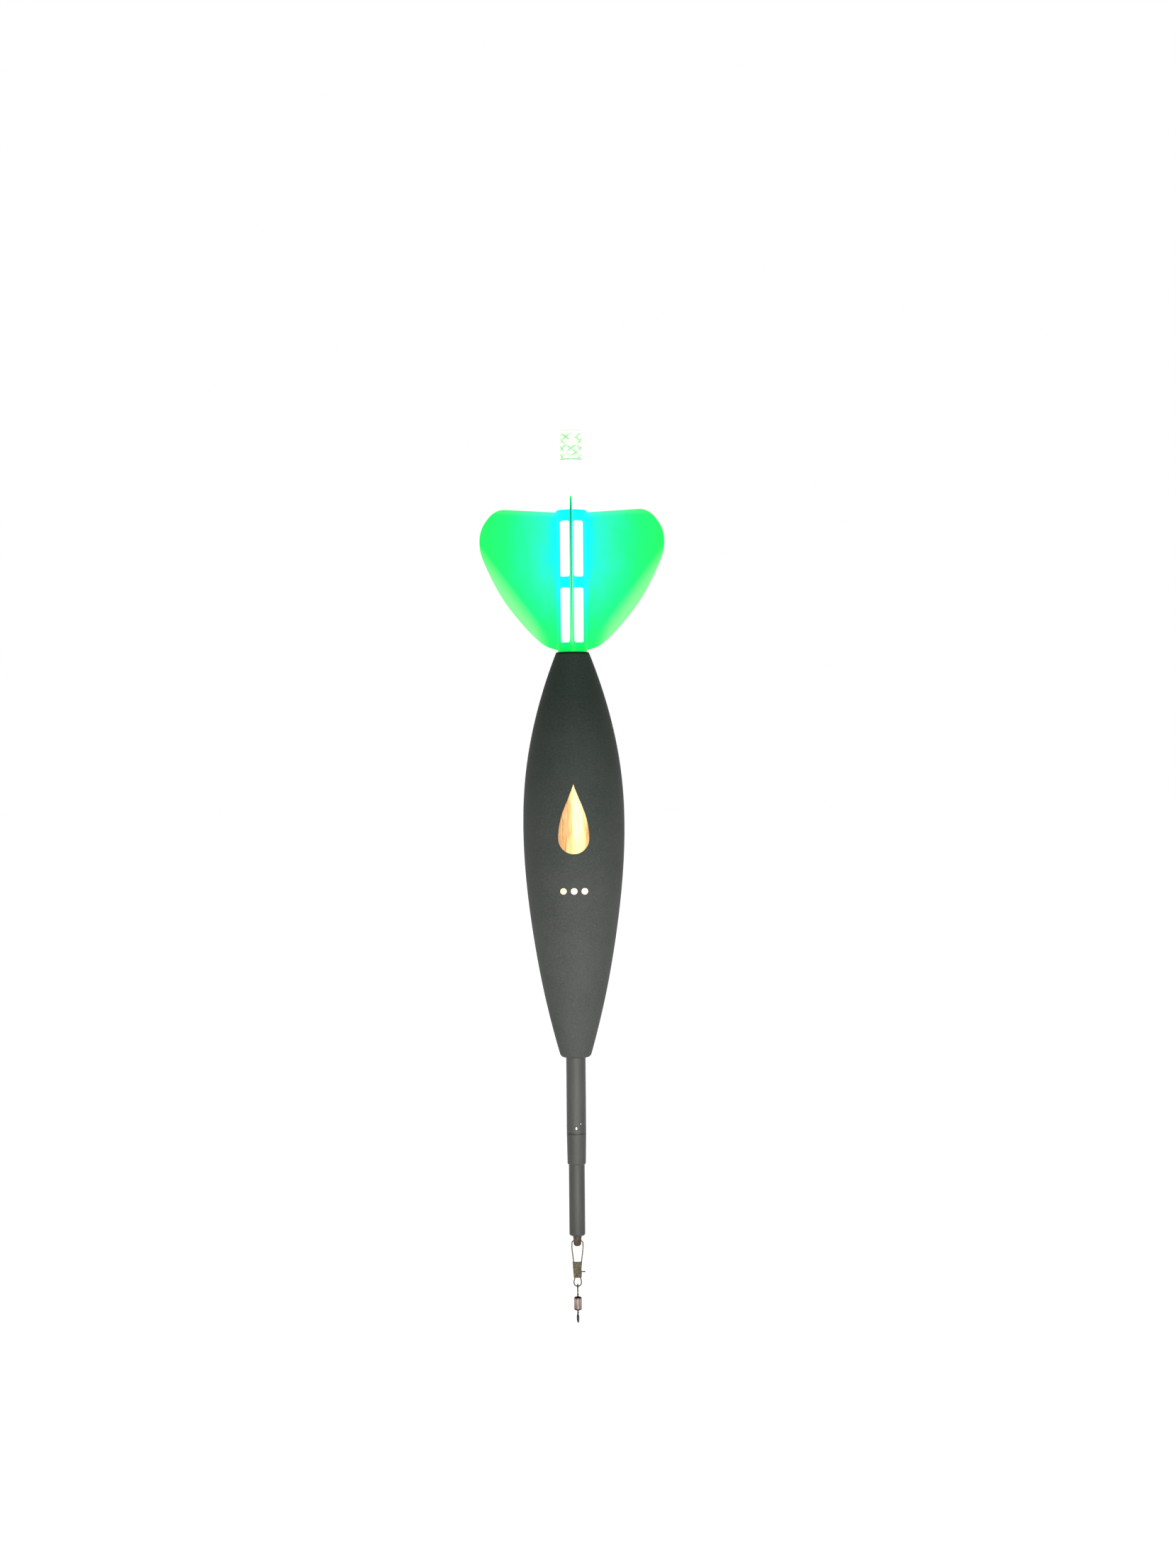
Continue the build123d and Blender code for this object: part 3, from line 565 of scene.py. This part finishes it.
# inside pieces, seen when the stick and its cell slide out
insideLooks = {
    "blackPlastic": {"colours": [(0.3, (0.014, 0.014, 0.014)), (0.7, (0.03, 0.03, 0.03))], "grain": 0.0009,
                     "fine": 0.0002, "rough": (0.4, 0.6), "relief": 0.00001},
    "ballastBrass": {"colours": [(0.3, (0.42, 0.29, 0.10)), (0.7, (0.66, 0.48, 0.2))], "grain": 0.0008,
                     "stretch": (1, 1, 0.1), "fine": 0.0002, "rough": (0.25, 0.42), "relief": 0.00001, "metal": 1.0},
    "sealRubber": {"colours": [(0.3, (0.012, 0.012, 0.012)), (0.7, (0.028, 0.028, 0.028))], "grain": 0.0005,
                   "fine": 0.00015, "rough": (0.6, 0.8), "relief": 0.00001},
    "lampResin": {"colours": [(0.3, (0.55, 0.95, 0.70)), (0.7, (0.8, 1.0, 0.9))], "grain": 0.0012,
                  "fine": 0.0003, "rough": (0.06, 0.16), "relief": 0.000006, "coat": 0.6},
    "platedContact": {"colours": [(0.3, (0.62, 0.45, 0.18)), (0.7, (0.86, 0.68, 0.34))], "grain": 0.0006,
                      "fine": 0.00015, "rough": (0.18, 0.34), "relief": 0.000006, "metal": 1.0},
    "cellSteel": {"colours": [(0.3, (0.50, 0.50, 0.49)), (0.7, (0.70, 0.70, 0.69))], "grain": 0.0009,
                  "stretch": (1, 1, 0.08), "fine": 0.00018, "rough": (0.16, 0.32), "relief": 0.000008, "metal": 1.0},
}
insidePieces = {
    "blackPlastic": ["socket_plug", "lamp_carrier", "cell_gasket"],
    "ballastBrass": ["ballast_rod"],
    "sealRubber": ["sleeve_seals"],
    "lampResin": ["lamp"],
    "platedContact": ["lamp_leads", "pin_socket", "can_contact"],
    "cellSteel": ["cell_can", "cell_pin"],
}
for finishName, look in insideLooks.items():
    dress(grained(finishName, look), *insidePieces[finishName])
print("inside pieces done")

# floor, light and camera
studio = {"floorDrop": 0.0004, "floorHalf": 12.0, "floorGlow": 0.86, "keyPower": 2.2, "tablePower": 0.8,
          "keyPlace": (0.10, -0.72, -0.04), "keyTarget": (0, 0, -0.08), "keySize": (0.22, 0.24),
          "tablePlace": (0.03, -0.20), "tableLift": 0.0002, "tableSize": (0.30, 0.22)}


def studioFloor(values):
    low, _ = cadBox
    mesh = bpy.data.meshes.new("floor")
    half, level = values["floorHalf"], low[2] - values["floorDrop"]
    corners = [(-half, -half, level), (half, -half, level), (half, half, level), (-half, half, level)]
    mesh.from_pydata(corners, [], [(0, 1, 2, 3)])
    floor = bpy.data.objects.new("floor", mesh)
    bpy.context.scene.collection.objects.link(floor)
    finish, tree, shader, coords = newFinish("paleFloor")
    cloud = grain(tree, coords.outputs["Object"], 0.5, 3)
    paper = ramp(tree, cloud, [(0.3, (0.90, 0.90, 0.90)), (0.7, (0.93, 0.93, 0.93))])
    tree.links.new(paper, shader.inputs["Base Color"])
    shader.inputs["Roughness"].default_value = 0.9
    shader.inputs["Specular IOR Level"].default_value = 0.1
    shader.inputs["Emission Color"].default_value = (1, 1, 1, 1)
    shader.inputs["Emission Strength"].default_value = values["floorGlow"]
    mesh.materials.append(finish)


def softbox(name, place, target, size, power):
    light = bpy.data.lights.new(name, "AREA")
    light.shape, light.size, light.size_y, light.energy = "RECTANGLE", *size, power
    holder = bpy.data.objects.new(name, light)
    holder.location = place
    holder.rotation_euler = (Vector(target) - Vector(place)).to_track_quat("-Z", "Y").to_euler()
    bpy.context.scene.collection.objects.link(holder)


def studioSky():  # white round the horizon, darker overhead
    world = bpy.data.worlds.new("studioSky")
    bpy.context.scene.world = world
    world.use_nodes = True
    tree = world.node_tree
    back = next(n for n in tree.nodes if n.type == "BACKGROUND")
    coords = tree.nodes.new("ShaderNodeTexCoord")
    height = put(tree, "SeparateXYZ", Vector=coords.outputs["Generated"]).outputs["Z"]
    tree.links.new(ramp(tree, height, [(0.33, (1, 1, 1)), (0.5, (0.14, 0.14, 0.14))]), back.inputs["Color"])
    back.inputs["Strength"].default_value = 1.0


studioFloor(studio)
studioSky()
softbox("keyBox", studio["keyPlace"], studio["keyTarget"], studio["keySize"], studio["keyPower"])
tablePlace = (*studio["tablePlace"], cadBox[0][2] - studio["tableLift"])  # just above the floor, facing up
softbox("tableBox", tablePlace, (*studio["tablePlace"], 1), studio["tableSize"], studio["tablePower"])

cameraSet = {"place": (0.0037, -0.636, -0.0338), "tilt": 0.48, "fieldOfView": 35.1}
camera = bpy.data.cameras.new("camera")
camera.sensor_fit = "VERTICAL"
camera.angle_y = math.radians(cameraSet["fieldOfView"])
camera.clip_start = 0.01
camera.dof.use_dof = False
cameraHolder = bpy.data.objects.new("camera", camera)
cameraHolder.location = cameraSet["place"]
cameraHolder.rotation_euler = (math.radians(90), math.radians(cameraSet["tilt"]), 0)
bpy.context.scene.collection.objects.link(cameraHolder)
bpy.context.scene.camera = cameraHolder
bpy.context.scene.view_settings.view_transform = "Standard"
print("studio done")
